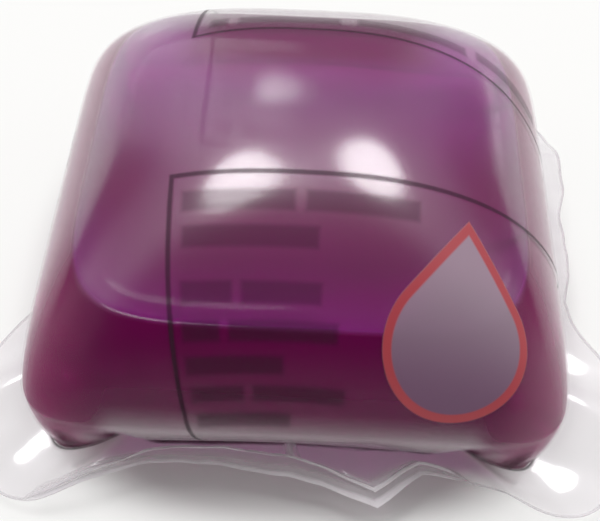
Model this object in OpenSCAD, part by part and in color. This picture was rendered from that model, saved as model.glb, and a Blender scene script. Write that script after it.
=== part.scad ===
// Liquid detergent pod: two clear water-soluble films sealed round a dose of purple liquid.
// The pocket film is drawn into the dome, the lid film closes it from below, and the margin where the two
// films are joined is the flange. Both sides swell, so the flange stands clear of the table and the pod rests
// on a flat spot in the middle of its lid. The liquid stops short of the crown and leaves a bubble of air.
// Millimetres, +Z up, front at -Y. The origin is the middle of the flat spot.

/* [Pocket] */
// Width of the pocket at its belly, left to right
pocket_w = 45.5; // [38:0.5:58]
// Depth of the pocket at its belly, front to back
pocket_d = 46.6; // [38:0.1:58]
// Height of the whole pod, from the table to the crown
pod_h = 26; // [23:0.1:34]
// Height of the belly, the widest level, above the seal midway along a side
belly_h = 4.3; // [2.5:0.1:6]
// Squareness of the plan at the belly
belly_square = 9.8; // [5:0.1:12]
// Squareness of the plan at the crown
crown_square = 2.6; // [2.3:0.1:5]
// Fullness of the crown, from pointed to flat
crown_full = 2.45; // [2.1:0.05:3.5]
// Fullness of the shoulder, from sloping to upright
shoulder_full = 1.45; // [1.2:0.05:2]

/* [Seal] */
// Height of the seal above the table, midway along a side
seal_h = 5.5; // [4.5:0.1:7]
// How far the seal lies inside the belly, midway along a side
seal_inset = 2.4; // [1.2:0.1:3.5]
// Squareness of the seal's plan
seal_square = 14; // [8:1:20]
// How far the ears stand out at the corners of the seal
ear_out = 1.3; // [0.3:0.1:1.6]
// Distance from a corner of the seal to the pinch beside its ear
ear_length = 6.9; // [4:0.1:9]
// How far an ear sinks below the seal beside it
ear_sink = 1.7; // [0:0.1:2]
// How far the film is drawn in at a pinch
pinch_in = 0.8; // [0.2:0.1:1]
// How far the film is lifted at a pinch
pinch_lift = 0.7; // [0:0.1:0.9]
// How far the seal sinks at its corners
corner_sink = 1.4; // [0.5:0.1:1.7]

/* [Flange] */
// Width of the flange along its left and right sides, on average
side_margin = 4.4; // [3.4:0.1:6]
// Width of the flange along its front and back
end_margin = 2.1; // [1.9:0.1:5]
// How far the films' middle lies to the right of the pocket's middle
film_x = 0.9; // [0:0.1:2]
// Squareness of the flange's plan
flange_square = 11; // [6:1:16]
// How far the flange flares out at its front right corner
right_flare = 3.2; // [1:0.1:4]
// How far the flange flares out at its front left corner
left_flare = 4.2; // [1:0.1:5]
// How far the flange flares out at its back corners
back_flare = 1.2; // [0:0.1:3]
// Length of the flare along a left or right side, from the corner
side_flare_length = 12.7; // [8:0.1:15]
// Length of the flare along the front or back, from the corner
end_flare_length = 7; // [5:0.1:10]
// Width of the band beside the seal in which the films stay joined along the front
joined_w = 0.8; // [0.4:0.1:1.2]
// Droop of the flange's edge below the seal, midway along a side
side_droop = 1.1; // [0:0.1:1.5]
// Droop of the flange's edge below the seal, at a corner
corner_droop = 1.1; // [0.5:0.1:1.3]
// Height of the ripples along the flange's edge
ripple_h = 0.3; // [0:0.05:0.5]
// Ripples round the whole edge
ripple_count = 9; // [5:1:13]
// Gap between the films where their front edges part
lip_gap = 1.1; // [0.4:0.1:1.4]
// How far the pocket film's edge is drawn back there
lip_back = 1.2; // [0.4:0.1:1.4]
// Length of the parted stretch along the front
lip_length = 29; // [16:0.5:34]
// Distance of the parted stretch's middle from the pod's middle, to the right
lip_x = -1.9; // [-6:0.1:6]
// Distance of the fold in the front edge from the pod's middle, to the right
fold_x = 4.8; // [2:0.1:10]
// How far the fold stands out
fold_out = 3.1; // [0.5:0.1:3.6]
// Length of edge that the fold takes up on its right, and the sharp part of it on its left
fold_reach = 3.5; // [3:0.1:8]
// Length of edge that the fold takes up on its left
fold_left = 12.5; // [5:0.1:14]
// Distance of the notch in the right edge from the pod's middle, to the front
notch_y = 3.6; // [0:0.1:6]
// How far the notch is drawn in
notch_in = 0.6; // [0:0.1:1]
// Half the length of edge that the notch takes up
notch_reach = 2.5; // [2:0.1:5]

/* [Lid] */
// Width of the flat spot that the pod rests on
rest_w = 28; // [20:0.5:34]
// Depth of the flat spot that the pod rests on
rest_d = 28; // [20:0.5:34]
// Squareness of the flat spot's plan
rest_square = 3; // [2:0.5:6]
// Fullness of the lid between the flat spot and the seal
lid_full = 1.8; // [1.4:0.1:2.6]

/* [Film and liquid] */
// Thickness of either film
film_t = 0.1; // [0.08:0.01:0.2]
// Height of the liquid's surface above the table
fill_h = 18.2; // [13:0.1:21]
// Clearance between the liquid and the films
liquid_gap = 0.05; // [0.03:0.01:0.1]

/* [Hidden] */

// Points round every ring, and rows across each part of the section
around = 92;
flange_rows = 3;
wall_rows = 4;
dome_rows = 8;
lid_rows = 4;
// Where the dome's last ring lies, short of the crown, which is flat inside it
crown_share = 0.97;
// How strongly the points round a ring are drawn together at the corners, which take the tightest curves
corner_crowding = 0.3;
// Angle over which a flare dies away, and over which a pinch does, as a share of the angle to it
flare_blend = 6;
pinch_share = 0.25;
// Sharpness of the flange's bend beside the seal, of the parting of the films and of the change of plan
flange_bend = 1.3;
parting_bend = 1.4;
plan_bend = 1.5;
// How steeply the wall leaves the seal, from 0, along the flange, to 1
wall_lean = 0.85;
// The second train of ripples: its size as a share of the first, and where it starts
second_ripple = 0.5;
second_start = 40;
// Drop of the fold for each millimetre that it stands out, and the share of it in the sharp part
fold_drop = 0.25;
fold_sharp = 0.4;

belly = [pocket_w / 2, pocket_d / 2];
seal = belly - [seal_inset, seal_inset];
edge = seal + [side_margin, end_margin];
rest = [rest_w / 2, rest_d / 2];
joined_share = joined_w / end_margin;
belly_z = seal_h + belly_h;
dome_h = pod_h - film_t - belly_z;
pinch_angle = 45 - atan(1 - ear_length / min(seal));
side_flare_angle = 45 - atan(1 - side_flare_length / seal.y);
end_flare_angle = 45 - atan(1 - end_flare_length / seal.x);
lip_angle = 270 + atan(lip_x / seal.y);
lip_half_angle = atan(lip_length / 2 / seal.y);
fold_angle = 270 + atan(fold_x / seal.y);
fold_angle_right = atan(fold_reach / seal.y);
fold_angle_left = atan(fold_left / seal.y);
notch_angle = 360 - atan(notch_y / seal.x);
notch_half_angle = atan(notch_reach / seal.x);

pocket_colour = [0.84, 0.72, 0.86, 0.45];
lid_colour = [0.90, 0.86, 0.91, 0.45];
liquid_colour = [0.42, 0.08, 0.33];

// The direction of each point round a ring: 0 is the right, 90 the back, 270 the front
directions = [for (i = [0 : around - 1]) let (even = 360 * (i + 0.5) / around)
    even + corner_crowding * sin(4 * even) / 4 * 180 / PI];

function mix(p, q, share) = p + (q - p) * share;
function moved_out(p, by) = p * (1 + by / norm(p));
function smooth(share) = let (s = min(max(share, 0), 1)) s * s * (3 - 2 * s);

// Outlines in plan

// A point of a rounded rectangle with the given half sizes, in direction a
function squircle(a, half, square) =
    pow(pow(abs(cos(a)), square) + pow(abs(sin(a)), square), -1 / square) * [half.x * cos(a), half.y * sin(a)];

// The angle from direction a to the nearest corner: 0 at a corner, 45 midway along a side
function off_corner(a) = abs(a % 90 - 45);

// 1 in the middle of a corner and 0 midway along a side
function cornerness(a) = pow(cos(2 * off_corner(a)), 2);

// 1 in the middle of an ear, and 1 at the pinches beside it
function ear(a) = let (off = off_corner(a)) off < pinch_angle ? pow(cos(90 * off / pinch_angle), 2) : 0;
function pinch(a) = exp(-pow((off_corner(a) / pinch_angle - 1) / pinch_share, 2));

function seal_plan(a) = moved_out(squircle(a, seal, seal_square), ear_out * ear(a) - pinch_in * pinch(a));
function seal_z(a) = seal_h - corner_sink * cornerness(a) - ear_sink * ear(a) + pinch_lift * pinch(a);

// The flange

// 1 at a place on the edge, falling to 0 over an angle before it and an angle after it
function peak(a, place, before, after) = max(0, 1 - (a < place ? (place - a) / before : (a - place) / after));
function fold(a) = mix(peak(a, fold_angle, fold_angle_left, fold_angle_right),
    peak(a, fold_angle, fold_angle_right, fold_angle_right), fold_sharp);
function notch(a) = peak(a, notch_angle, notch_half_angle, notch_half_angle);

// 1 along the stretch where the front edges part, closing at its ends
function lip(a) = let (off = abs(a - lip_angle) / lip_half_angle)
    off < 1 ? sqrt(cos(90 * off)) : 0;

// How far the edge flares out at the corners
function flare(a) = let (reach = abs(cos(a)) > abs(sin(a)) ? side_flare_angle : end_flare_angle)
    (a < 180 ? back_flare : a < 270 ? left_flare : right_flare)
    * smooth((reach + flare_blend - off_corner(a)) / (2 * flare_blend));

function edge_plan(a) = [film_x, 0]
    + moved_out(squircle(a, edge, flange_square), flare(a) + fold_out * fold(a) - notch_in * notch(a));
function ripple(a) = ripple_h
    * (sin(ripple_count * a) + second_ripple * sin((2 * ripple_count - 3) * a + second_start));
function edge_z(a) = seal_z(a) + ripple(a)
    - mix(side_droop, corner_droop, cornerness(a)) - fold_drop * fold_out * fold(a);

// A point of the face where the two films meet, from 0 at the seal to 1 at the edge
function joint_point(a, share) =
    let (p = mix(seal_plan(a), edge_plan(a), share))
    [p.x, p.y, mix(seal_z(a), edge_z(a), pow(share, flange_bend))];

// How far the films have parted at that point, from 0 where they are joined to 1 at the open edge
function parted(a, share) = lip(a) * pow(max(0, share - joined_share) / (1 - joined_share), parting_bend);

function pocket_flange_point(a, share) =
    let (p = joint_point(a, share), open = parted(a, share), back = moved_out([p.x, p.y], -lip_back * open))
    [back.x, back.y, p.z + lip_gap * open];

// The pocket's wall, from the seal to the belly, its dome, from the belly to the crown, and the lid

function wall_point(a, share) =
    let (p = mix(seal_plan(a), squircle(a, belly, belly_square), sin(90 * share)))
    [p.x, p.y, mix(seal_z(a), belly_z, mix(1 - cos(90 * share), share, wall_lean))];

function dome_point(a, share) =
    let (rise = pow(sin(90 * share), 2 / shoulder_full),
         square = mix(crown_square, belly_square, pow(1 - rise, plan_bend)),
         p = squircle(a, belly, square) * pow(cos(90 * share), 2 / crown_full))
    [p.x, p.y, belly_z + dome_h * rise];

function lid_point(a, share) =
    let (p = mix(seal_plan(a), squircle(a, rest, rest_square), share))
    [p.x, p.y, mix(film_t, seal_z(a), pow(1 - share, lid_full))];

// Rings of points, from the cut edge of each film to its middle

pocket_rings = concat(
    [for (k = [flange_rows : -1 : 1]) [for (a = directions) pocket_flange_point(a, k / flange_rows)]],
    [for (k = [0 : wall_rows]) [for (a = directions) wall_point(a, k / wall_rows)]],
    [for (k = [1 : dome_rows]) [for (a = directions) dome_point(a, crown_share * k / dome_rows)]]);

lid_rings = concat(
    [for (k = [flange_rows : -1 : 0]) [for (a = directions) joint_point(a, k / flange_rows)]],
    [for (k = [1 : lid_rows]) [for (a = directions) lid_point(a, k / lid_rows)]]);

// The inside of the pod, from the flat spot up to the crown
cavity_rings = concat(
    [for (k = [lid_rows : -1 : 1]) [for (a = directions) lid_point(a, k / lid_rows)]],
    [for (k = [flange_rows : len(pocket_rings) - 1]) pocket_rings[k]]);

// The normal of the surface through the rings, at point i of ring k: outward on a wall
function unit(v) = norm(v) > 0 ? v / norm(v) : v;
function ring_normal(rings, k, i) =
    let (here = rings[k][i], last = len(rings) - 1,
         along = rings[k][(i + 1) % around] - rings[k][(i + around - 1) % around],
         across = unit(rings[min(k + 1, last)][i] - here) - unit(rings[max(k - 1, 0)][i] - here))
    unit(cross(along, across));

// One ring moved along the normals, a ring moved out of a sharp crease and a ring laid level
function raised(rings, k, by) = [for (i = [0 : around - 1]) rings[k][i] + by * ring_normal(rings, k, i)];
function uncreased(rings, k, by) = [for (i = [0 : around - 1]) let (here = rings[k][i])
    here + by * unit(unit(rings[k - 1][i] - here) + unit(rings[k + 1][i] - here))];
function level(ring, z) = [for (p = ring) [p.x, p.y, z]];
function backwards(list) = [for (k = [len(list) - 1 : -1 : 0]) list[k]];
function joined(rings) = [for (ring = rings) each ring];

// Triangles between rings first and last; the diagonals lean one way or the other
function strips(first, last, lean = false) = [for (k = [first : last - 1]) for (i = [0 : around - 1])
    let (j = (i + 1) % around, p = k * around, q = p + around)
    each lean ? [[p + i, q + i, p + j], [q + i, q + j, p + j]] : [[p + i, q + i, q + j], [p + i, q + j, p + j]]];

// The solid between the upper and the lower face of a film, both given as rings from the edge to the middle
module film(upper, lower) {
    rows = len(upper);
    shift = rows * around;
    skin = concat(strips(0, rows - 1), [[for (i = [around - 1 : -1 : 0]) shift - around + i]]);
    underside = [for (face = skin) [for (v = backwards(face)) v + shift]];
    rim = [for (i = [0 : around - 1]) let (j = (i + 1) % around)
        each [[shift + i, i, j], [shift + i, j, shift + j]]];
    polyhedron(concat(joined(upper), joined(lower)), concat(skin, underside, rim), convexity = 6);
}

// Sub-parts

module pocket_film() {
    last = len(pocket_rings) - 1;
    outside = [for (k = [0 : last])
        k == flange_rows ? uncreased(pocket_rings, k, film_t)
        : k < last ? raised(pocket_rings, k, film_t)
        : level(pocket_rings[k], pod_h)];
    color(pocket_colour) film(outside, pocket_rings);
}

module lid_film() {
    last = len(lid_rings) - 1;
    underside = [for (k = [0 : last]) k < last ? raised(lid_rings, k, -film_t) : level(lid_rings[k], 0)];
    color(lid_colour) film(lid_rings, underside);
}

// The liquid keeps its clearance from both films and ends in a level surface
module detergent() {
    belly_ring = lid_rows + wall_rows;
    wetted = [for (k = [belly_ring : len(cavity_rings) - 1]) if (cavity_rings[k][0].z < fill_h) k];
    top = wetted[len(wetted) - 1];
    below = raised(cavity_rings, top, -liquid_gap);
    above = raised(cavity_rings, top + 1, -liquid_gap);
    shore = [for (i = [0 : around - 1])
        mix(below[i], above[i], (fill_h - below[i].z) / (above[i].z - below[i].z))];
    rings = concat(
        [level(cavity_rings[0], film_t + liquid_gap)],
        [for (k = [1 : top]) raised(cavity_rings, k, -liquid_gap)],
        [shore]);
    rows = len(rings);
    floor_face = [for (i = [0 : around - 1]) i];
    surface_face = [for (i = [around - 1 : -1 : 0]) (rows - 1) * around + i];
    color(liquid_colour) polyhedron(joined(rings),
        concat(strips(0, lid_rows, true), strips(lid_rows, rows - 1), [floor_face, surface_face]), convexity = 4);
}

pocket_film();
lid_film();
detergent();
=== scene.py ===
import math

import bpy
import numpy as np
from mathutils import Matrix


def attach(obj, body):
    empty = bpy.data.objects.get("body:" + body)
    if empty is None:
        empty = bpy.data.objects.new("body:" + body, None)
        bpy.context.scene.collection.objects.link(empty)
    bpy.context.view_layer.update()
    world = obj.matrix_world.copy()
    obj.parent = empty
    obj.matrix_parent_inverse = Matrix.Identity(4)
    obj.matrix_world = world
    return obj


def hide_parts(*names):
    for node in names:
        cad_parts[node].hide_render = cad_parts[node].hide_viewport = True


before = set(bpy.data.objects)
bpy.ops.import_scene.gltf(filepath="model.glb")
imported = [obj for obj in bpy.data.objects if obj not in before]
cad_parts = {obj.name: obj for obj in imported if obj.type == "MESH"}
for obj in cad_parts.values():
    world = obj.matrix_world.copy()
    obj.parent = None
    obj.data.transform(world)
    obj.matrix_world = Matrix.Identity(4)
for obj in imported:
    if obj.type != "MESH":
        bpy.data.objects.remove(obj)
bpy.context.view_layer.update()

# A liquid detergent pod: two clear films sealed round a dose of purple liquid.
# The meshes follow the part's source in finer steps. Lengths are in millimetres. Angles are in degrees and
# run round the pod from its right side by way of its back.

MM = 0.001

# Sizes of the pod, the same as in the part's source
BELLY = np.array([45.5, 46.6]) / 2
POD_H = 26.0
SEAL_H = 5.5
BELLY_H = 4.3
BELLY_Z = SEAL_H + BELLY_H
BELLY_SQUARE = 9.8
CROWN_SQUARE = 2.6
CROWN_FULL = 2.45
SHOULDER_FULL = 1.45
SEAL_INSET = 2.4
SEAL = BELLY - SEAL_INSET
SEAL_SQUARE = 14.0
EAR_OUT, EAR_LENGTH, EAR_SINK = 1.3, 6.9, 1.7
PINCH_IN, PINCH_LIFT, PINCH_SHARE = 0.8, 0.7, 0.25
CORNER_SINK = 1.4
SIDE_MARGIN, END_MARGIN = 4.4, 2.1
EDGE = SEAL + np.array([SIDE_MARGIN, END_MARGIN])
FILM_X = 0.9
FLANGE_SQUARE = 11.0
LEFT_FLARE, RIGHT_FLARE, BACK_FLARE = 4.2, 3.2, 1.2
SIDE_FLARE_LENGTH, END_FLARE_LENGTH = 12.7, 7.0
FLARE_BLEND = 6.0
JOINED_W = 0.8
JOINED_SHARE = JOINED_W / END_MARGIN
SIDE_DROOP, CORNER_DROOP = 1.1, 1.1
RIPPLE_H, RIPPLES = 0.3, 9
SECOND_RIPPLE, SECOND_START = 0.5, 40
LIP_GAP, LIP_BACK, LIP_LENGTH, LIP_X = 1.1, 1.2, 29.0, -1.9
FOLD_X, FOLD_OUT, FOLD_REACH, FOLD_LEFT = 4.8, 3.1, 3.5, 12.5
FOLD_DROP, FOLD_SHARP = 0.25, 0.4
NOTCH_Y, NOTCH_IN, NOTCH_REACH = 3.6, 0.6, 2.5
REST = np.array([28.0, 28.0]) / 2
REST_SQUARE = 3.0
LID_FULL = 1.8
FLANGE_BEND, PARTING_BEND, PLAN_BEND = 1.3, 1.4, 1.5
WALL_LEAN = 0.85
FILM_T = 0.1
FILL_H = 18.2
DOME_H = POD_H - FILM_T - BELLY_Z

# The dressed liquid stands a little further from the films than the solid does
LIQUID_GAP = 0.06

# Points round every ring and rows of rings
AROUND = 288
FLANGE_ROWS = 30
WALL_ROWS = 22
DOME_ROWS = 60
LID_ROWS = 26
# Where the dome's last ring lies, short of the crown, which is flat inside it
CROWN_SHARE = 0.995
# How strongly points are drawn together at the corners, and the flange's rows at its edge
CORNER_CROWDING = 0.3
EDGE_CROWDING = 1.4


# Mathematics in degrees and on smooth ramps

def sin(a):
    return np.sin(np.radians(a))


def cos(a):
    return np.cos(np.radians(a))


def atan(x):
    return math.degrees(math.atan(x))


def mix(p, q, share):
    return p + (q - p) * share


def ramp(x, start, end):
    """0 up to the start and 1 from the end on, smooth between; the end may be the lower one."""
    s = np.clip((x - start) / (end - start), 0, 1)
    return s * s * (3 - 2 * s)


def bump(x, middle, width):
    return np.exp(-(((x - middle) / width) ** 2))


def shares(rows):
    return np.arange(1, rows + 1) / rows


# Angles of the points round a ring, one of which stands at each sharp feature of the edge

PINCH_ANGLE = 45 - atan(1 - EAR_LENGTH / min(SEAL))
SIDE_FLARE_ANGLE = 45 - atan(1 - SIDE_FLARE_LENGTH / SEAL[1])
END_FLARE_ANGLE = 45 - atan(1 - END_FLARE_LENGTH / SEAL[0])
LIP_ANGLE = 270 + atan(LIP_X / SEAL[1])
LIP_HALF = atan(LIP_LENGTH / 2 / SEAL[1])
FOLD_ANGLE = 270 + atan(FOLD_X / SEAL[1])
FOLD_RIGHT_ANGLE = atan(FOLD_REACH / SEAL[1])
FOLD_LEFT_ANGLE = atan(FOLD_LEFT / SEAL[1])
RIDGE_ANGLE = 268.7
NOTCH_ANGLE = 360 - atan(NOTCH_Y / SEAL[0])
NOTCH_HALF = atan(NOTCH_REACH / SEAL[0])

even_angle = 360 * (np.arange(AROUND) + 0.5) / AROUND
ANGLE = even_angle + np.degrees(CORNER_CROWDING * sin(4 * even_angle) / 4)
for place in (FOLD_ANGLE, NOTCH_ANGLE, RIDGE_ANGLE):
    ANGLE[np.argmin(np.abs(ANGLE - place))] = place

# Angle from the nearest corner, and the shares of corner, ear and pinch there
FROM_CORNER = np.abs(np.mod(ANGLE, 90) - 45)
CORNER = cos(2 * FROM_CORNER) ** 2
EAR = cos(90 * np.minimum(FROM_CORNER / PINCH_ANGLE, 1)) ** 2
PINCH = bump(FROM_CORNER / PINCH_ANGLE, 1, PINCH_SHARE)


# Outlines and sections of the pod

def squircle(half, square):
    k = (np.abs(cos(ANGLE)) ** square + np.abs(sin(ANGLE)) ** square) ** (-1 / square)
    return np.stack([half[0] * cos(ANGLE) * k, half[1] * sin(ANGLE) * k], -1)


def moved_out(p, by):
    return p * (1 + np.asarray(by) / np.linalg.norm(p, axis=-1))[:, None]


def with_z(p, z):
    return np.concatenate([p, np.broadcast_to(z, p.shape[:1])[:, None]], -1)


def peak(place, before, after):
    """1 at an angle, falling straight to 0 over the angles before and after it."""
    away = np.where(ANGLE < place, (place - ANGLE) / before, (ANGLE - place) / after)
    return np.maximum(0, 1 - away)


def flare():
    along_side = np.abs(cos(ANGLE)) > np.abs(sin(ANGLE))
    reach = np.where(along_side, SIDE_FLARE_ANGLE, END_FLARE_ANGLE)
    size = np.where(ANGLE < 180, BACK_FLARE, np.where(ANGLE < 270, LEFT_FLARE, RIGHT_FLARE))
    return size * ramp(FROM_CORNER, reach + FLARE_BLEND, reach - FLARE_BLEND)


from_lip = np.abs(ANGLE - LIP_ANGLE) / LIP_HALF
LIP = np.where(from_lip < 1, np.sqrt(np.maximum(0, cos(90 * np.minimum(from_lip, 1)))), 0)
FOLD = mix(
    peak(FOLD_ANGLE, FOLD_LEFT_ANGLE, FOLD_RIGHT_ANGLE),
    peak(FOLD_ANGLE, FOLD_RIGHT_ANGLE, FOLD_RIGHT_ANGLE),
    FOLD_SHARP,
)
NOTCH = peak(NOTCH_ANGLE, NOTCH_HALF, NOTCH_HALF)
SEAL_PLAN = moved_out(squircle(SEAL, SEAL_SQUARE), EAR_OUT * EAR - PINCH_IN * PINCH)
SEAL_Z = SEAL_H - CORNER_SINK * CORNER - EAR_SINK * EAR + PINCH_LIFT * PINCH
edge_out = flare() + FOLD_OUT * FOLD - NOTCH_IN * NOTCH
EDGE_PLAN = moved_out(squircle(EDGE, FLANGE_SQUARE), edge_out) + np.array([FILM_X, 0])
second_train = sin((2 * RIPPLES - 3) * ANGLE + SECOND_START)
RIPPLE = RIPPLE_H * (sin(RIPPLES * ANGLE) + SECOND_RIPPLE * second_train)
edge_droop = mix(SIDE_DROOP, CORNER_DROOP, CORNER) + FOLD_DROP * FOLD_OUT * FOLD
EDGE_Z = SEAL_Z + RIPPLE - edge_droop


def joint_ring(share):
    """A ring of the flange where the films are joined, from the seal at 0 to the edge at 1."""
    return with_z(mix(SEAL_PLAN, EDGE_PLAN, share), mix(SEAL_Z, EDGE_Z, share ** FLANGE_BEND))


def pocket_flange_ring(share):
    """A ring of the pocket film's flange, which lifts off the lid film along the lips."""
    p = joint_ring(share)
    opened = LIP * (max(0, share - JOINED_SHARE) / (1 - JOINED_SHARE)) ** PARTING_BEND
    return with_z(moved_out(p[:, :2], -LIP_BACK * opened), p[:, 2] + LIP_GAP * opened)


def wall_ring(share):
    """A ring of the wall, from the seal at 0 to the belly at 1."""
    p = mix(SEAL_PLAN, squircle(BELLY, BELLY_SQUARE), sin(90 * share))
    return with_z(p, mix(SEAL_Z, BELLY_Z, mix(1 - cos(90 * share), share, WALL_LEAN)))


def dome_ring(share):
    """A ring of the dome, from the belly at 0 to the crown at 1."""
    rise = sin(90 * share) ** (2 / SHOULDER_FULL)
    square = mix(CROWN_SQUARE, BELLY_SQUARE, (1 - rise) ** PLAN_BEND)
    plan = squircle(BELLY, square) * cos(90 * share) ** (2 / CROWN_FULL)
    return with_z(plan, BELLY_Z + DOME_H * rise)


def lid_ring(share):
    """A ring of the lid, from the seal at 0 to the flat spot at 1."""
    p = mix(SEAL_PLAN, squircle(REST, REST_SQUARE), share)
    return with_z(p, mix(FILM_T, SEAL_Z, (1 - share) ** LID_FULL))


# Meshes from rings of points

def unit(v):
    return v / np.maximum(np.linalg.norm(v, axis=-1, keepdims=True), 1e-12)


def normals(rings):
    """Outward normals of a stack of rings, halfway at a crease."""
    along = np.roll(rings, -1, 1) - np.roll(rings, 1, 1)
    ahead = np.concatenate([unit(rings[1:] - rings[:-1]), np.zeros_like(rings[:1])])
    behind = np.concatenate([np.zeros_like(rings[:1]), unit(rings[:-1] - rings[1:])])
    return unit(np.cross(along, ahead - behind))


def strips(first, rows):
    """Quads between the rings of a stack whose first point has the given number."""
    k = np.arange(rows - 1)[:, None] * AROUND
    i = np.arange(AROUND)[None, :]
    j = (i + 1) % AROUND
    return (np.stack([k + i, k + j, k + AROUND + j, k + AROUND + i], -1) + first).reshape(-1, 4)


def add_object(name, data):
    obj = bpy.data.objects.new(name, data)
    bpy.context.scene.collection.objects.link(obj)
    return obj


def mesh_object(name, points, quads, caps, attributes, uv=None):
    """A smooth mesh with a value per point for each attribute, and the place of the print if there is one."""
    faces = [tuple(map(int, q)) for q in quads] + [tuple(map(int, c)) for c in caps]
    mesh = bpy.data.meshes.new(name)
    mesh.from_pydata((points * MM).tolist(), [], faces)
    mesh.update()
    mesh.polygons.foreach_set("use_smooth", np.ones(len(mesh.polygons), bool))
    if uv is not None:
        loops = np.empty(len(mesh.loops), np.int32)
        mesh.loops.foreach_get("vertex_index", loops)
        layer = mesh.uv_layers.new(name="print")
        layer.data.foreach_set("uv", uv[loops].astype(np.float32).ravel())
    for key, values in attributes.items():
        attribute = mesh.attributes.new(key, "FLOAT", "POINT")
        attribute.data.foreach_set("value", values.astype(np.float32).ravel())
    return add_object(name, mesh)


def film_object(name, upper, lower, uv, upper_values, lower_values):
    """A closed film from its upper and lower rings, which run from the cut edge to the middle."""
    rows = len(upper)
    count = rows * AROUND
    ring = np.arange(AROUND)
    following = (ring + 1) % AROUND
    rim = np.stack([ring, count + ring, count + following, following], -1)
    quads = np.concatenate([strips(0, rows), strips(count, rows)[:, ::-1], rim])
    caps = [count - AROUND + ring, (2 * count - AROUND + ring)[::-1]]
    points = np.concatenate([upper.reshape(-1, 3), lower.reshape(-1, 3)])
    values = {key: np.concatenate([upper_values[key], lower_values[key]]) for key in upper_values}
    both_uv = np.concatenate([uv.reshape(-1, 2)] * 2)
    return mesh_object(name, points, quads, caps, values, both_uv)


def in_second_material(obj, wanted):
    """Gives the faces whose points are all wanted the second material of the piece."""
    for polygon in obj.data.polygons:
        if all(wanted[i] for i in polygon.vertices):
            polygon.material_index = 1


# Creases of the film

# Trains of small folds on the flange: height, folds round the pod, slant across the flange, start
FLANGE_FOLDS = ((0.10, 31, 70, 0), (0.07, 53, -110, 20))
FOLD_GROWTH = 0.8
PUFF_H, PUFF_WIDTH = 0.12, 3.5
CORNER_FOLD_H, CORNER_FOLD_TURN = 0.10, 450
RIDGE_H, RIDGE_WIDTH, RIDGE_STRETCH = 0.30, 0.6, 1.1
PLEATS, PLEAT_SLANT, PLEAT_H = 55, 40, 0.30
TUCK_H, TUCK_WIDTH = 0.45, 2.2
PLEAT_STRETCH, PLEAT_FADE = 1.1, 1.8

PLEAT_WAVE = sin(PLEATS * FROM_CORNER + PLEAT_SLANT * CORNER)
RIDGE = bump(ANGLE, RIDGE_ANGLE, RIDGE_WIDTH)


def flange_crinkle(rings, share):
    """Small folds that grow towards the flange's edge, puffs beside the pinches and one sharp ridge."""
    s = share[:, None]
    grow = s ** FOLD_GROWTH
    lift = PUFF_H * bump(FROM_CORNER, PINCH_ANGLE, PUFF_WIDTH) * np.sin(np.pi * s)
    lift = lift - CORNER_FOLD_H * CORNER * sin(CORNER_FOLD_TURN * s) * grow
    for height, count, slant, start in FLANGE_FOLDS:
        lift = lift + height * sin(count * ANGLE + slant * s + start) * grow
    lift = lift + RIDGE_H * RIDGE * np.sin(np.pi * np.minimum(RIDGE_STRETCH * s, 1))
    out = rings.copy()
    out[..., 2] = out[..., 2] + lift
    return out


def wall_crinkle(rings, share):
    """Pleats of the wall at the ears and a tuck at each pinch, dying away above the seal."""
    s = share[:, None]
    fade = np.sin(np.pi * np.clip(PLEAT_STRETCH * s, 0, 1)) * np.exp(-PLEAT_FADE * s)
    depth = PLEAT_H * PLEAT_WAVE * bump(FROM_CORNER, 0, PINCH_ANGLE)
    depth = depth + TUCK_H * bump(FROM_CORNER, PINCH_ANGLE, TUCK_WIDTH)
    out = rings.copy()
    out[..., :2] = out[..., :2] * (1 - depth * fade / np.linalg.norm(out[..., :2], axis=-1))[..., None]
    return out


# Rings of both films

flange_share = 1 - (1 - shares(FLANGE_ROWS)[::-1]) ** EDGE_CROWDING
wall_share = np.concatenate([[0], shares(WALL_ROWS)])
dome_share = CROWN_SHARE * shares(DOME_ROWS)

pocket_flange = flange_crinkle(np.array([pocket_flange_ring(s) for s in flange_share]), flange_share)
lid_flange = flange_crinkle(np.array([joint_ring(s) for s in flange_share]), flange_share)
wall = wall_crinkle(np.array([wall_ring(s) for s in wall_share]), wall_share)
dome = np.array([dome_ring(s) for s in dome_share])
lid_under = np.array([lid_ring(s) for s in shares(LID_ROWS)])

body = np.concatenate([wall, dome])
pocket_inner = np.concatenate([pocket_flange, body])
lid_upper = np.concatenate([lid_flange, wall[:1], lid_under])

BODY_ROWS = len(body)
LID_BODY_ROWS = LID_ROWS + 1


def flange_only(flange_values, rows):
    """Values on the flange, followed by none on the given number of rows inside it."""
    return np.concatenate([flange_values, np.zeros((rows, AROUND))])


# The cut edges of both films are rolled where they part into lips
ROLL_PLACE, ROLL_WIDTH, ROLL_H = 0.93, 0.055, 0.14
LIP_ZONE = ramp(LIP, 0, 0.4)
roll = ROLL_H * bump(flange_share, ROLL_PLACE, ROLL_WIDTH)[:, None] * LIP_ZONE

# The pocket film thins in the crease, where flange and wall would run into each other
THINNEST, THIN_REACH = 0.1, 0.5
from_seal = np.linalg.norm(pocket_inner - wall[0], axis=-1)
thinning = np.clip(THINNEST + from_seal / THIN_REACH, THINNEST, 1)
thickness = FILM_T * thinning + flange_only(roll, BODY_ROWS)
outward = normals(pocket_inner)
to_flange = unit(pocket_inner[FLANGE_ROWS - 1] - wall[0])
to_wall = unit(pocket_inner[FLANGE_ROWS + 1] - wall[0])
outward[FLANGE_ROWS] = unit(to_flange + to_wall)
pocket_outer = pocket_inner + thickness[..., None] * outward
pocket_outer[-1, :, 2] = POD_H
lid_thickness = FILM_T + flange_only(roll, LID_BODY_ROWS)
lid_lower = lid_upper - lid_thickness[..., None] * normals(lid_upper)
lid_lower[-1] = with_z(lid_upper[-1, :, :2], 0.0)

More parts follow.
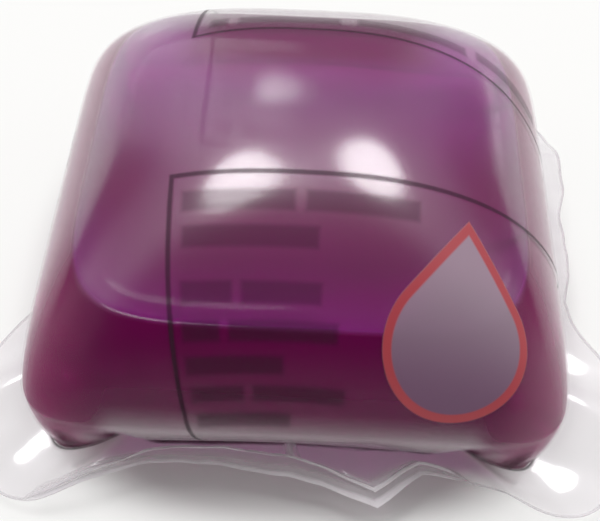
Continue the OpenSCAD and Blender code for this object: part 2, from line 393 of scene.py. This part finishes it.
# The print lies flat on the film: distance from the crown along the film, in the point's direction
PRINT_SPAN = 90.0
steps = np.linalg.norm(np.diff(body, axis=0), axis=-1)
from_last_ring = np.concatenate([np.cumsum(steps[::-1], 0)[::-1], np.zeros((1, AROUND))])
from_crown = from_last_ring + np.linalg.norm(dome[-1, :, :2], axis=-1)
flange_from_crown = from_crown[0] + np.linalg.norm(pocket_flange - wall[0], axis=-1)
print_reach = np.concatenate([flange_from_crown, from_crown])
direction = np.arctan2(pocket_inner[..., 1], pocket_inner[..., 0])
print_place = np.stack([print_reach * np.cos(direction), print_reach * np.sin(direction)], -1)
print_uv = print_place / PRINT_SPAN + 0.5
lid_uv = lid_upper[..., :2] / PRINT_SPAN + 0.5


# Looks of the films, as values from point to point

# Milky white bands along the cut edge, partly the film's rolled edge and partly a painted highlight on it:
# strength, and the shares across the flange between which they come in
LIP_WHITE = ((0.3, 0.68, 0.78), (0.7, 0.87, 0.92))
EDGE_WHITE, EDGE_WHITE_SHARE = 0.4, (0.955, 0.985)
GLINT_INNER, GLINT_OUTER = (0.12, 0.22), (0.70, 0.60)
EAR_ZONE, EAR_ZONE_BLEND = 1.15 * PINCH_ANGLE, 4
CREASE_W, EAR_CREASE_W, CREASE_BLEND, WALL_CREASE_W = 0.85, 0.35, 0.3, 0.45
LIQUID_LIGHT_SHARE, LIQUID_LIGHT_FRONT = (0.85, 0.45), (0.5, 0.8)

# Heights and places on the body between which a look comes in
WET_Z = (FILL_H + 0.3, FILL_H - 0.3)
SHEEN_Z = (12.5, 7.5)
UNDER_EAR_Z = (11.0, 8.0)
PLEAT_Z = (8.5, 5.5)
RIGHT_X, RIGHT_Z = (15.5, 20.5), (17.5, 14.5)

# Strengths of the looks
SHEEN_WHITE, PLEAT_HIGHLIGHT, PLEAT_SHADE_COVER = 0.10, 0.26, 0.7
DRY_GLOSS, WET_GLOSS_LOSS, SHEEN_GLOSS, RIGHT_GLOSS, RIGHT_EAR_LOSS = 2.1, 1.98, 5.5, 1.2, 0.9
FLANGE_GLOSS_LOSS, FLANGE_WHITE_GLOSS = 1.5, 3.5
EAR_BARE_LOSS, SHEEN_BARE_LOSS, WET_BARE_LOSS = 0.85, 0.5, 0.45
LID_GLOSS, LID_UNDER_LOSS = 0.6, 0.35

flange_out = np.repeat(flange_share[:, None], AROUND, 1)
white_edge = sum(strength * ramp(flange_out, start, end) for strength, start, end in LIP_WHITE) * LIP_ZONE
white_edge = np.maximum(white_edge, EDGE_WHITE * ramp(flange_out, *EDGE_WHITE_SHARE))
# A painted highlight: a milky white streak along the sharp ridge of the flange
glint = RIDGE * ramp(flange_out, *GLINT_INNER) * ramp(flange_out, *GLINT_OUTER)

on_flange = flange_only(flange_out, BODY_ROWS)
on_body = on_flange == 0
ear_zone = ramp(FROM_CORNER, EAR_ZONE, EAR_ZONE - EAR_ZONE_BLEND)
pocket_x, pocket_z = pocket_inner[..., 0], pocket_inner[..., 2]

# Painted light: a purple tint on the clear flange beside the straight front stretch of the seal, standing in
# for light from the liquid
painted_liquid_light = ramp(flange_out, *LIQUID_LIGHT_SHARE) * (1 - ear_zone) * ramp(-sin(ANGLE), *LIQUID_LIGHT_FRONT)
# Where the liquid wets the film, the inner side has no gloss of its own
wet_pocket = on_body * ramp(pocket_z, *WET_Z)
# The film turns pale towards the seal, where it faces the table: more gloss, which reflects it, and a painted
# milky sheen
sheen = on_body * ramp(pocket_z, *SHEEN_Z) * (1 - ear_zone)
# The ears stay dark underneath, with less reflection, and near the seal their pleats carry painted highlights
# and painted shade
under_ear = on_body * ear_zone * ramp(pocket_z, *UNDER_EAR_Z)
pleat_zone = on_body * ear_zone * ramp(pocket_z, *PLEAT_Z)
pleat_highlights = PLEAT_HIGHLIGHT * pleat_zone * np.maximum(0, PLEAT_WAVE) ** 4
pleat_shade = PLEAT_SHADE_COVER * pleat_zone * np.maximum(0, -PLEAT_WAVE) ** 2
# The lower right side catches the bright side of the room
right_side = on_body * ramp(pocket_x, *RIGHT_X) * ramp(pocket_z, *RIGHT_Z)

# The films' milky white: the cut edges partly real, the ridge, the pleats and the sheen above the seal
# painted highlights
white_pocket = flange_only(np.maximum(white_edge, glint), BODY_ROWS)
white_pocket = np.maximum(white_pocket, np.maximum(SHEEN_WHITE * sheen, pleat_highlights))
# Painted shade in the crease of the seal and between the ears' pleats
crease_w = mix(CREASE_W, EAR_CREASE_W, ear_zone)
flange_crease = ramp(from_seal, crease_w, crease_w - CREASE_BLEND)
crease = np.where(on_body, bump(from_seal, 0, WALL_CREASE_W), flange_crease)
crease = np.maximum(crease, pleat_shade)

outer_gloss = DRY_GLOSS - WET_GLOSS_LOSS * wet_pocket + SHEEN_GLOSS * sheen
outer_gloss = outer_gloss + (FLANGE_WHITE_GLOSS * white_pocket - FLANGE_GLOSS_LOSS) * (1 - on_body)
outer_gloss = outer_gloss + RIGHT_GLOSS * right_side * wet_pocket * (1 - RIGHT_EAR_LOSS * under_ear)
outer_bare = (1 - EAR_BARE_LOSS * under_ear - SHEEN_BARE_LOSS * sheen) * (1 - WET_BARE_LOSS * wet_pocket)

pocket_looks = {
    "flange": on_flange,
    "white": white_pocket,
    "crease": crease,
    "painted_liquid_light": flange_only(painted_liquid_light, BODY_ROWS),
    "wet": wet_pocket,
}
pocket = film_object(
    "pocket_film_dressed", pocket_outer, pocket_inner, print_uv,
    {**pocket_looks, "gloss": outer_gloss, "bare": outer_bare},
    {**pocket_looks, "gloss": 1 - wet_pocket, "bare": 1 - wet_pocket},
)

lid_on_flange = flange_only(flange_out, LID_BODY_ROWS)
wet_lid = (lid_on_flange == 0) * 1.0
lid_looks = {
    "flange": lid_on_flange,
    "white": flange_only(white_edge, LID_BODY_ROWS),
    "crease": np.zeros_like(wet_lid),
    "painted_liquid_light": flange_only(painted_liquid_light, LID_BODY_ROWS),
    "wet": wet_lid,
}
lid = film_object(
    "lid_film_dressed", lid_upper, lid_lower, lid_uv,
    {**lid_looks, "gloss": LID_GLOSS * (1 - wet_lid), "bare": 1 - wet_lid},
    {**lid_looks, "gloss": LID_GLOSS - LID_UNDER_LOSS * wet_lid, "bare": np.ones_like(wet_lid)},
)


# The liquid, with a meniscus where its surface meets the film

MENISCUS_H, MENISCUS_W = 0.8, 1.1
SURFACE_INSETS = (0.0, 0.12, 0.3, 0.5, 0.75, 1.05, 1.4, 1.9, 2.6, 3.6, 5.0, 7.5, 11.0, 15.0)
# The last ring along the wetted wall lies at least this far below the surface
SHORE_STEP = 0.05
# Places between which a look comes in: the dull middle of the back, the far half, the flanks and the sides
DULL_X, DULL_Y, DULL_LOSS = (15, 9), (10, 14), 0.9
FAR_Y = (-6, 18)
FLANK_X, FLANK_Y, FLANK_REACH, FLANK_LOSS = (10, 16), -2, 8, 0.8
SIDE_X = (14.5, 22.5)
RIM_REACH, FAR_RIM_REACH = 5.0, 7.0

cavity = np.concatenate([lid_under[::-1], wall, dome])
inside = cavity - LIQUID_GAP * normals(cavity)
inside[0] = with_z(cavity[0, :, :2], FILM_T + LIQUID_GAP)
wet_rows = int(np.sum(inside[:, 0, 2] < FILL_H - SHORE_STEP))
last_wet, first_dry = inside[wet_rows - 1], inside[wet_rows]
shore_share = (FILL_H - last_wet[:, 2]) / (first_dry[:, 2] - last_wet[:, 2])
shore = mix(last_wet, first_dry, shore_share[:, None])
surface = []
for inset in SURFACE_INSETS:
    dip = MENISCUS_H * (1 - math.exp(-inset / MENISCUS_W))
    surface.append(with_z(moved_out(shore[:, :2], -inset), FILL_H - dip))
liquid_rings = np.concatenate([inside[:wet_rows], np.array(surface)])

liquid_x, liquid_y = np.abs(liquid_rings[..., 0]), liquid_rings[..., 1]
on_surface = (np.arange(len(liquid_rings)) >= wet_rows)[:, None] * np.ones(AROUND)
# Painted light: the surface's tint is lighter in the thin liquid along the shore, most of all at the far
# corners
dull = DULL_LOSS * ramp(liquid_y, *DULL_Y) * ramp(liquid_x, *DULL_X)
far = ramp(liquid_y, *FAR_Y) * (1 - dull)
flank = FLANK_LOSS * ramp(liquid_x, *FLANK_X) * bump(liquid_y, FLANK_Y, FLANK_REACH)
from_shore = np.linalg.norm(liquid_rings - shore, axis=-1)
rim_light = np.exp(-from_shore / (RIM_REACH + FAR_RIM_REACH * far)) * on_surface * (1 - dull) * (1 - flank)
# Painted light: the walls' tint is redder at both sides, where light shines through the thin liquid
side_light = ramp(liquid_x, *SIDE_X) * (1 - on_surface)

first_ring = np.arange(AROUND)
last_ring = first_ring + (len(liquid_rings) - 1) * AROUND
liquid = mesh_object(
    "detergent_dressed",
    liquid_rings.reshape(-1, 3),
    strips(0, len(liquid_rings)),
    [first_ring[::-1], last_ring],
    {"rim": rim_light, "far": far, "side": side_light, "top": on_surface},
)


# Materials

class Nodes:
    """A small builder for node trees."""

    # Numbers of the colour sockets of a Mix node
    FIRST_COLOUR, SECOND_COLOUR, MIXED_COLOUR = 6, 7, 2

    def __init__(self, owner, output):
        owner.use_nodes = True
        self.owner = owner
        self.tree = owner.node_tree
        self.tree.nodes.clear()
        self.out = self.tree.nodes.new(output)

    def new(self, kind, inputs=(), **settings):
        node = self.tree.nodes.new(kind)
        for key, value in settings.items():
            setattr(node, key, value)
        for key, value in dict(inputs).items():
            socket = node.inputs[key]
            if isinstance(value, bpy.types.NodeSocket):
                self.tree.links.new(value, socket)
            else:
                socket.default_value = value
        return node

    def math(self, operation, *values):
        return self.new("ShaderNodeMath", enumerate(values), operation=operation).outputs[0]

    def vector(self, operation, *values):
        return self.new("ShaderNodeVectorMath", enumerate(values), operation=operation).outputs[0]

    def step(self, value, low, high):
        """0 at the first bound and 1 at the second, smooth between."""
        return self.new(
            "ShaderNodeMapRange", {"Value": value, "From Min": low, "From Max": high},
            interpolation_type="SMOOTHSTEP", clamp=True,
        ).outputs[0]

    def attribute(self, key):
        return self.new("ShaderNodeAttribute", attribute_name=key).outputs["Fac"]

    def blend(self, factor, first, second):
        """A colour between two."""
        colours = {0: factor, self.FIRST_COLOUR: first, self.SECOND_COLOUR: second}
        return self.new("ShaderNodeMix", colours, data_type="RGBA").outputs[self.MIXED_COLOUR]

    def mix(self, factor, first, second):
        """A shader between two."""
        return self.new("ShaderNodeMixShader", {0: factor, 1: first, 2: second}).outputs[0]

    def shader(self, kind, inputs):
        return self.new(kind, inputs).outputs[0]

    def surface(self, shader):
        self.tree.links.new(shader, self.out.inputs["Surface"])


def material_nodes(name):
    return Nodes(bpy.data.materials.new(name), "ShaderNodeOutputMaterial")


# Fields of the print on the flat film: left, right, low, high
FRAMES = ((-10.5, 60.0, -60.0, -9.0), (-10.5, 60.0, 8.4, 60.0))
BARS = (
    (-9.5, -0.5, -12.2, -10.5), (0.4, 9.4, -12.2, -10.5),
    (-9.4, 1.5, -15.1, -13.4),
    (-9.5, -5.4, -19.4, -17.7), (-4.6, 2.0, -19.4, -17.7),
    (-9.6, -6.5, -22.3, -20.7), (-5.7, 3.6, -22.3, -20.7),
    (-9.6, -1.0, -25.0, -23.5),
    (-9.5, -4.6, -27.4, -26.0), (-3.8, 4.8, -27.4, -26.0),
    (-9.4, -0.2, -29.8, -28.5),
    (-9.2, -7.6, 9.7, 11.4), (-6.6, 2.6, 9.7, 11.4), (4.2, 14.6, 9.9, 11.6), (15.8, 25.0, 10.4, 12.1),
)
LINE_W, LINE_BLUR = 0.40, 0.13
BAR_BLUR = 0.3
# The drop-shaped panel: a round foot whose tip stands above its middle
DROP_X, DROP_Y, DROP_R, DROP_TIP = 13.6, -21.3, 6.2, 10.2
DROP_LINE, DROP_BLUR = 0.75, 0.12
DROP_FADE_TOP = 0.7 * DROP_TIP
# The part of the film that carries print
PRINT_LEFT, PRINT_LOW, PRINT_HIGH = -12, -8, 7

INK = (0.030, 0.012, 0.022, 1)
PANEL_TIP, PANEL_FOOT = (0.36, 0.27, 0.33, 1), (0.17, 0.075, 0.155, 1)
CORAL = (0.42, 0.028, 0.032, 1)
INK_ROUGH = 0.45
MATT_INK, GLOSSY_INK = 0.1, 0.5
LINE_COVER, BAR_COVER, PANEL_COVER, OUTLINE_COVER = 0.72, 0.38, 0.82, 0.85


def drop_distance(n, x, y):
    """Distance of a place from the edge of the drop, less than 0 inside; the foot's middle is at 0, 0."""
    x = n.math("ABSOLUTE", x)
    sine = DROP_R / DROP_TIP
    cosine = math.sqrt(1 - sine * sine)
    from_flank = n.math("ADD", n.math("MULTIPLY", x, cosine), n.math("MULTIPLY", y, sine))
    from_middle = n.math("SQRT", n.math("ADD", n.math("MULTIPLY", x, x), n.math("MULTIPLY", y, y)))
    at_tip = n.math("GREATER_THAN", n.math("MULTIPLY", y, cosine), n.math("MULTIPLY", x, sine))
    reach = n.new("ShaderNodeMix", {0: at_tip, 2: from_middle, 3: from_flank}).outputs[0]
    return n.math("SUBTRACT", reach, DROP_R)


def printed_masks(n):
    """Masks of the line frames, the bars, the drop panel and its outline."""
    uv = n.new("ShaderNodeUVMap", uv_map="print").outputs[0]
    centred = n.vector("SUBTRACT", uv, (0.5, 0.5, 0))
    place = n.new("ShaderNodeVectorMath", {0: centred, "Scale": PRINT_SPAN}, operation="SCALE").outputs[0]

    def from_box(left, right, low, high):
        middle = ((left + right) / 2, (low + high) / 2, 0)
        half = ((right - left) / 2, (high - low) / 2, 0)
        from_middle = n.vector("ABSOLUTE", n.vector("SUBTRACT", place, middle))
        xy = n.new("ShaderNodeSeparateXYZ", {0: n.vector("SUBTRACT", from_middle, half)}).outputs
        return n.math("MAXIMUM", xy[0], xy[1])

    def nearest(distances):
        found = distances[0]
        for distance in distances[1:]:
            found = n.math("MINIMUM", found, distance)
        return found

    def line(distance, width, blur):
        """A line of a width along the places where a distance, which is never below 0, is 0."""
        return n.step(distance, width / 2 + blur, width / 2 - blur)

    from_frames = nearest([n.math("ABSOLUTE", from_box(*box)) for box in FRAMES])
    from_bars = nearest([from_box(*box) for box in BARS])
    local = n.new("ShaderNodeSeparateXYZ", {0: n.vector("SUBTRACT", place, (DROP_X, DROP_Y, 0))}).outputs
    from_drop = drop_distance(n, local[0], local[1])
    from_outline = n.math("ABSOLUTE", n.math("ADD", from_drop, DROP_LINE / 2))
    return {
        "lines": line(from_frames, LINE_W, LINE_BLUR),
        "bars": n.step(from_bars, BAR_BLUR, -BAR_BLUR),
        "panel": n.step(from_drop, DROP_BLUR, -DROP_BLUR),
        "foot": n.step(local[1], DROP_FADE_TOP, -DROP_R),
        "outline": line(from_outline, DROP_LINE, DROP_BLUR),
    }


def with_print(n, skin):
    """Lays the print over a film's shader."""
    masks = printed_masks(n)

    def inked(under, mask, cover, colour, gloss):
        ink = n.shader(
            "ShaderNodeBsdfPrincipled",
            {"Base Color": colour, "Roughness": INK_ROUGH, "Specular IOR Level": gloss},
        )
        return n.mix(n.math("MULTIPLY", mask, cover), under, ink)

    skin = inked(skin, masks["lines"], LINE_COVER, INK, MATT_INK)
    skin = inked(skin, masks["bars"], BAR_COVER, INK, MATT_INK)
    panel = n.blend(masks["foot"], PANEL_TIP, PANEL_FOOT)
    skin = inked(skin, masks["panel"], PANEL_COVER, panel, GLOSSY_INK)
    return inked(skin, masks["outline"], OUTLINE_COVER, CORAL, GLOSSY_INK)


# The clear film's tint, and the purple tint painted in as light from the liquid
FILM_TINT, LIQUID_LIGHT_TINT = (0.995, 0.99, 0.995, 1), (0.99, 0.915, 0.985, 1)
GLOSS_TINT, GLOW_TINT = (1, 1, 1, 1), (1, 0.97, 1, 1)
MILK = (0.97, 0.95, 0.97, 1)
CREASE_SHADE, CREASE_COVER = (0.085, 0.005, 0.04, 1), 0.62
# Reflection: its share straight on, and its share and steepness at a grazing view
GLOSS_SHARE, GRAZING_SHARE, STEEPNESS, WET_STEEPNESS_LOSS = 0.04, 0.80, 5.0, 2.2
BODY_ROUGH, FLANGE_ROUGH_LOSS, GLOW_ROUGH, GLOW_SHARE = 0.17, 0.04, 0.45, 0.26
FLANGE_ROUGH_STEP, FLANGE_HAZE_STEP = 0.08, 0.1
WHITE_HAZE, BODY_HAZE, FLANGE_HAZE = 0.85, 0.0015, 0.012


def film(name, printed):
    """Clear film with a sharp gloss in a soft glow, milky where it is white, partly as painted highlight, and
    with painted shade in the crease.
    """
    n = material_nodes(name)
    facing = n.new("ShaderNodeLayerWeight", {"Blend": 0.5}).outputs["Facing"]
    steepness = n.math("MULTIPLY_ADD", n.attribute("wet"), -WET_STEEPNESS_LOSS, STEEPNESS)
    grazing = n.math("MULTIPLY", n.math("POWER", facing, steepness), n.attribute("bare"))
    straight_on = n.math("MULTIPLY", n.attribute("gloss"), GLOSS_SHARE)
    reflectance = n.math("MULTIPLY_ADD", grazing, GRAZING_SHARE, straight_on)
    flange = n.attribute("flange")
    tint = n.blend(n.attribute("painted_liquid_light"), FILM_TINT, LIQUID_LIGHT_TINT)
    clear = n.shader("ShaderNodeBsdfTransparent", {"Color": tint})
    rough = n.math("MULTIPLY_ADD", n.step(flange, 0.0, FLANGE_ROUGH_STEP), -FLANGE_ROUGH_LOSS, BODY_ROUGH)
    gloss = n.shader("ShaderNodeBsdfGlossy", {"Color": GLOSS_TINT, "Roughness": rough})
    glow = n.shader("ShaderNodeBsdfGlossy", {"Color": GLOW_TINT, "Roughness": GLOW_ROUGH})
    skin = n.mix(reflectance, clear, n.mix(GLOW_SHARE, gloss, glow))
    shone_through = n.shader("ShaderNodeBsdfTranslucent", {"Color": MILK})
    shone_upon = n.shader("ShaderNodeBsdfDiffuse", {"Color": MILK})
    haze = n.math("MULTIPLY_ADD", n.attribute("white"), WHITE_HAZE, BODY_HAZE)
    haze = n.math("MULTIPLY_ADD", n.step(flange, 0.0, FLANGE_HAZE_STEP), FLANGE_HAZE, haze)
    skin = n.mix(haze, skin, n.mix(0.5, shone_through, shone_upon))
    shade = n.shader("ShaderNodeBsdfDiffuse", {"Color": CREASE_SHADE})
    skin = n.mix(n.math("MULTIPLY", n.attribute("crease"), CREASE_COVER), skin, shade)
    if printed:
        skin = with_print(n, skin)
    n.surface(skin)
    return n.owner


# Tints of the liquid; the lighter surface, rim, far and side tints are painted light
SURFACE_TINT, RIM_TINT = (0.268, 0.003, 0.125, 1), (0.365, 0.006, 0.305, 1)
FAR_TINT, FAR_TINT_SHARE = (0.45, 0.012, 0.425, 1), 0.8
WALL_TINT, SIDE_TINT = (0.19, 0.001, 0.090, 1), (0.40, 0.012, 0.17, 1)


def liquid_material():
    """Half clear, half cloudy purple, with painted light: lighter on the surface, at the shore, in the far
    half and at the sides.
    """
    n = material_nodes("purple_liquid")
    surface_tint = n.blend(n.attribute("rim"), SURFACE_TINT, RIM_TINT)
    far_share = n.math("MULTIPLY", n.attribute("far"), FAR_TINT_SHARE)
    surface_tint = n.blend(far_share, surface_tint, FAR_TINT)
    wall_tint = n.blend(n.attribute("side"), WALL_TINT, SIDE_TINT)
    tint = n.blend(n.attribute("top"), wall_tint, surface_tint)
    n.surface(n.shader("ShaderNodeBsdfPrincipled", {
        "Base Color": tint,
        "Roughness": 0.1,
        "IOR": 1.36,
        "Specular IOR Level": 0.1,
        "Transmission Weight": 0.5,
    }))
    return n.owner


clear_film = film("clear_film", False)
pocket.data.materials.append(clear_film)
pocket.data.materials.append(film("printed_film", True))
print_x, print_y = print_place[..., 0], print_place[..., 1]
carries_print = on_body & (print_x > PRINT_LEFT) & ((print_y < PRINT_LOW) | (print_y > PRINT_HIGH))
inner_side = np.zeros(carries_print.size, bool)
in_second_material(pocket, np.concatenate([carries_print.ravel(), inner_side]))
lid.data.materials.append(clear_film)
liquid.data.materials.append(liquid_material())

for piece, node in ((pocket, "pocket_film"), (lid, "lid_film"), (liquid, "detergent")):
    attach(piece, "root")
    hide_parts(node)


# Floor and room, in metres

FLOOR_REACH = 6.0
TABLE_PAINT = (0.93, 0.93, 0.915, 1)
BACKGROUND = (0.97, 0.97, 0.955, 1)
# Distances from the pod's middle over which the floor's painted glow of the background colour grows, out of
# the pod's shadow and on to the full background
SHADOW_END, DISTANCE_END = (0.025, 0.031), (0.08, 0.30)
# Shares of that glow under the pod, where it is painted light that lifts the shadow, and near the pod
UNDER_POD_SHARE, NEAR_SHARE = 0.13, 0.7


def add_floor():
    """A pale table that shows the plain background and keeps the pod's shadow, lifted a little by painted
    glow near and under the pod.
    """
    corners = [(FLOOR_REACH * x, FLOOR_REACH * y, 0) for x, y in ((-1, -1), (1, -1), (1, 1), (-1, 1))]
    mesh = bpy.data.meshes.new("floor")
    mesh.from_pydata(corners, [], [(0, 1, 2, 3)])
    n = material_nodes("white_table")
    paint = n.shader("ShaderNodeBsdfDiffuse", {"Color": TABLE_PAINT})
    bright = n.shader("ShaderNodeEmission", {"Color": BACKGROUND, "Strength": 1.0})
    path = n.new("ShaderNodeLightPath").outputs
    seen = n.math("MAXIMUM", path["Is Camera Ray"], path["Is Glossy Ray"])
    seen = n.math("MAXIMUM", seen, path["Is Transmission Ray"])
    spot = n.new("ShaderNodeNewGeometry").outputs["Position"]
    from_pod = n.new("ShaderNodeVectorMath", {0: spot}, operation="LENGTH").outputs["Value"]
    clear_of_pod = n.step(from_pod, *SHADOW_END)
    clear_of_pod = n.math("MULTIPLY_ADD", clear_of_pod, 1 - UNDER_POD_SHARE, UNDER_POD_SHARE)
    distant = n.math("MULTIPLY_ADD", n.step(from_pod, *DISTANCE_END), 1 - NEAR_SHARE, NEAR_SHARE)
    share = n.math("MULTIPLY", distant, n.math("MULTIPLY", seen, clear_of_pod))
    n.surface(n.mix(share, paint, bright))
    mesh.materials.append(n.owner)
    return add_object("floor", mesh)


ROOM_FRONT, ROOM_CEILING = (0.65, 0.64, 0.64, 1), (0.62, 0.61, 0.63, 1)
BACK_MIDDLE, BACK_SIDES = (0.20, 0.17, 0.17, 1), (0.60, 0.55, 0.60, 1)
BRIGHT_SIDES = (0.95, 0.93, 0.91, 1)
DARK_PATCH, DARK_PATCH_Y, DARK_PATCH_Z = (0.06, 0.055, 0.06, 1), -0.62, 0.78
# Shares of the direction's x, y and z between which one part of the room passes into the next
BACK_Y, CEILING_Z = (-0.5, 0.6), (0.35, 0.85)
BACK_SIDES_START, BACK_SIDES_END = (0.2, 0.42), (0.72, 0.5)
SIDES_X, SIDES_Y, SIDES_Z = (0.35, 0.85), (0.45, 0.0), (0.65, 0.35)
PATCH_EDGE = (0.63, 0.90)


def light_room():
    """An even room with a darker back, bright sides and a dark patch high in front, all for the gloss."""
    world = bpy.data.worlds.new("room")
    bpy.context.scene.world = world
    n = Nodes(world, "ShaderNodeOutputWorld")
    way = n.new("ShaderNodeTexCoord").outputs["Generated"]
    x, y, z = n.new("ShaderNodeSeparateXYZ", {0: way}).outputs
    aside = n.math("ABSOLUTE", x)
    beside_back = n.math("MULTIPLY", n.step(aside, *BACK_SIDES_START), n.step(aside, *BACK_SIDES_END))
    back_wall = n.blend(beside_back, BACK_MIDDLE, BACK_SIDES)
    colour = n.blend(n.step(y, *BACK_Y), ROOM_FRONT, back_wall)
    colour = n.blend(n.step(z, *CEILING_Z), colour, ROOM_CEILING)
    low_front = n.math("MULTIPLY", n.step(y, *SIDES_Y), n.step(z, *SIDES_Z))
    beside = n.math("MULTIPLY", n.step(aside, *SIDES_X), low_front)
    colour = n.blend(beside, colour, BRIGHT_SIDES)
    towards_patch = n.math("MULTIPLY_ADD", y, DARK_PATCH_Y, n.math("MULTIPLY", z, DARK_PATCH_Z))
    colour = n.blend(n.step(towards_patch, *PATCH_EDGE), colour, DARK_PATCH)
    seen = n.new("ShaderNodeLightPath").outputs["Is Camera Ray"]
    colour = n.blend(seen, colour, BACKGROUND)
    n.surface(n.shader("ShaderNodeBackground", {"Color": colour, "Strength": 1.0}))


# Lamps, in metres and watts, and the camera

LAMP_DISTANCE = 2.0
# Name, angle from the back towards the right, elevation, width, length, power
LAMPS = (
    ("lamp_left", -57, 73.5, 0.74, 0.92, 15.0),
    ("lamp_right", 40.5, 66.5, 0.68, 0.90, 13.5),
    ("lamp_back", -8.5, 42.5, 0.36, 0.18, 0.75),
)
# The camera's distance and the place it aims at are in millimetres, like the pod
CAMERA_ELEVATION, CAMERA_DISTANCE, CAMERA_ROLL, POD_YAW = 50.0, 108.75, 1.92, -0.94
CAMERA_AIM = np.array([-0.17, 0.0, 3.6])
# Focal length in pixels of an image of the given width
FOCAL_PIXELS, IMAGE_W = 1120.2, 600
SENSOR_W = 36.0
CLIP_START = 0.001


def stand(obj, place, right, up, back):
    """Puts a lamp or camera at a place, looking away from its back."""
    axes = np.stack([right, up, back], -1)
    obj.matrix_world = Matrix.Translation(place.tolist()) @ Matrix(axes.tolist()).to_4x4()


def add_lamp(name, azimuth, elevation, width, length, power):
    """A soft oval lamp aimed at the pod."""
    lamp = bpy.data.lights.new(name, "AREA")
    lamp.shape = "ELLIPSE"
    lamp.size = width
    lamp.size_y = length
    lamp.energy = power
    level = cos(elevation)
    back = np.array([sin(azimuth) * level, cos(azimuth) * level, sin(elevation)])
    right = unit(np.cross([0.0, 1.0, 0.0], back))
    stand(add_object(name, lamp), back * LAMP_DISTANCE, right, np.cross(back, right), back)


def add_camera():
    """The photograph's viewpoint, from before the pod, which stands turned a little."""
    back = np.array([0, -cos(CAMERA_ELEVATION), sin(CAMERA_ELEVATION)])
    level = np.array([1.0, 0, 0])
    upright = np.cross(back, level)
    right = cos(CAMERA_ROLL) * level + sin(CAMERA_ROLL) * upright
    up = cos(CAMERA_ROLL) * upright - sin(CAMERA_ROLL) * level
    c, s = cos(-POD_YAW), sin(-POD_YAW)
    turn = np.array([[c, -s, 0], [s, c, 0], [0, 0, 1]])
    eye = turn @ (CAMERA_AIM + back * CAMERA_DISTANCE) * MM
    lens = bpy.data.cameras.new("camera")
    lens.sensor_fit = "HORIZONTAL"
    lens.sensor_width = SENSOR_W
    lens.lens = FOCAL_PIXELS * SENSOR_W / IMAGE_W
    lens.clip_start = CLIP_START
    camera = add_object("camera", lens)
    stand(camera, eye, turn @ right, turn @ up, turn @ back)
    bpy.context.scene.camera = camera


floor = add_floor()
light_room()
for lamp_values in LAMPS:
    add_lamp(*lamp_values)
add_camera()

bpy.context.scene.view_settings.view_transform = "Standard"
cycles = bpy.context.scene.cycles
cycles.caustics_refractive = True
cycles.caustics_reflective = False
cycles.max_bounces = 10
cycles.transmission_bounces = 10
cycles.transparent_max_bounces = 20
